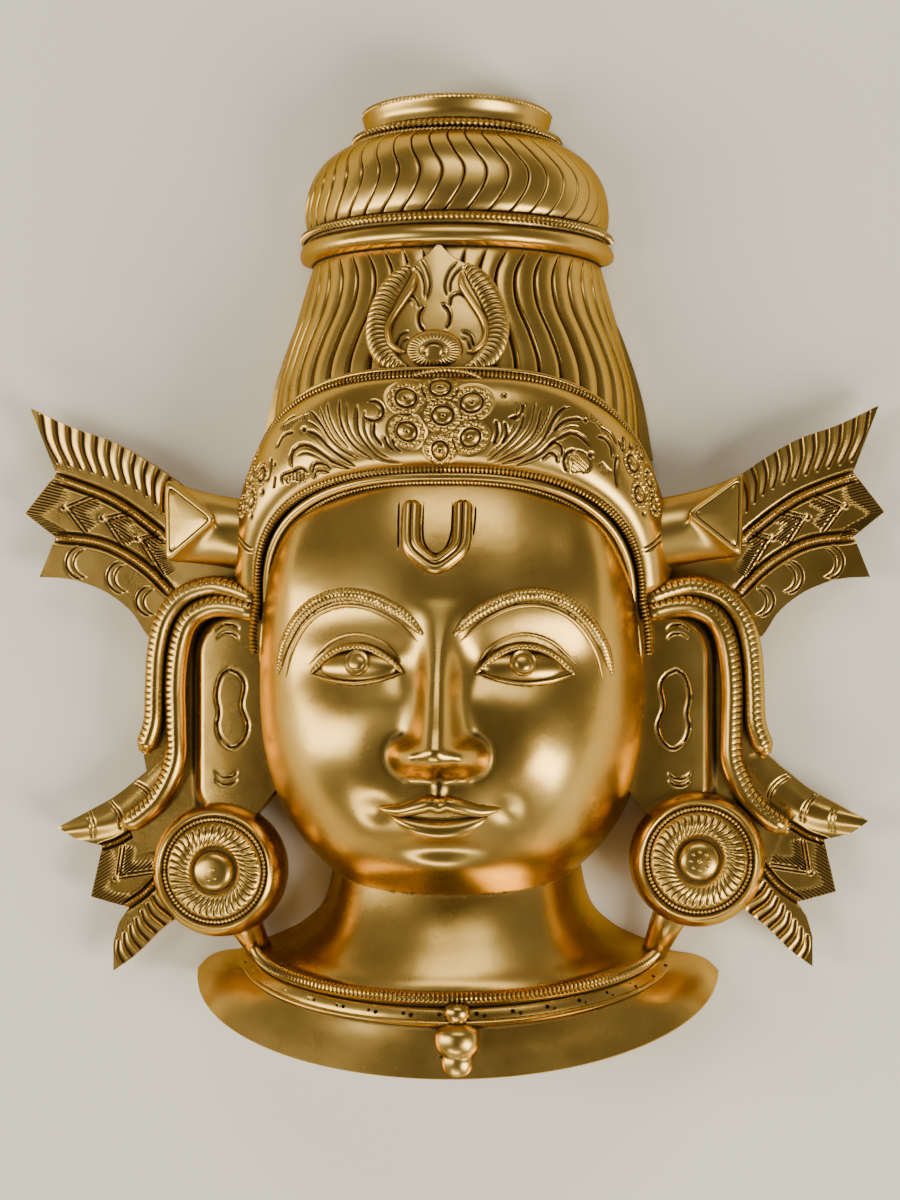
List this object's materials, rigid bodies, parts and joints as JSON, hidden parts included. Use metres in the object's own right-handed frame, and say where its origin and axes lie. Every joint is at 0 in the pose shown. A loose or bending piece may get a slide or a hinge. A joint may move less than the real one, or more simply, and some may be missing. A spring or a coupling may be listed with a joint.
{
  "type": "devi mask",
  "caption": "Hollow cast-brass wall mask of a crowned deity with a fluted tall crown, relief diadem, ear discs, looped ear cords, feather side fans and a flared neck collar.",
  "frame": {"origin": "under the middle of the outline, in the plane of the back rims on which the mask lies", "axes": "+X across the mask to the viewer's right, +Y up the mask towards the top of the crown, +Z out of the face"},
  "size_m": [0.2894, 0.327, 0.0862],
  "materials": {
    "brass": "polished cast brass with dark brown patina in the grooves and recesses"
  },
  "bodies": {
    "root": {"mask": "brass"}
  },
  "joints": []
}
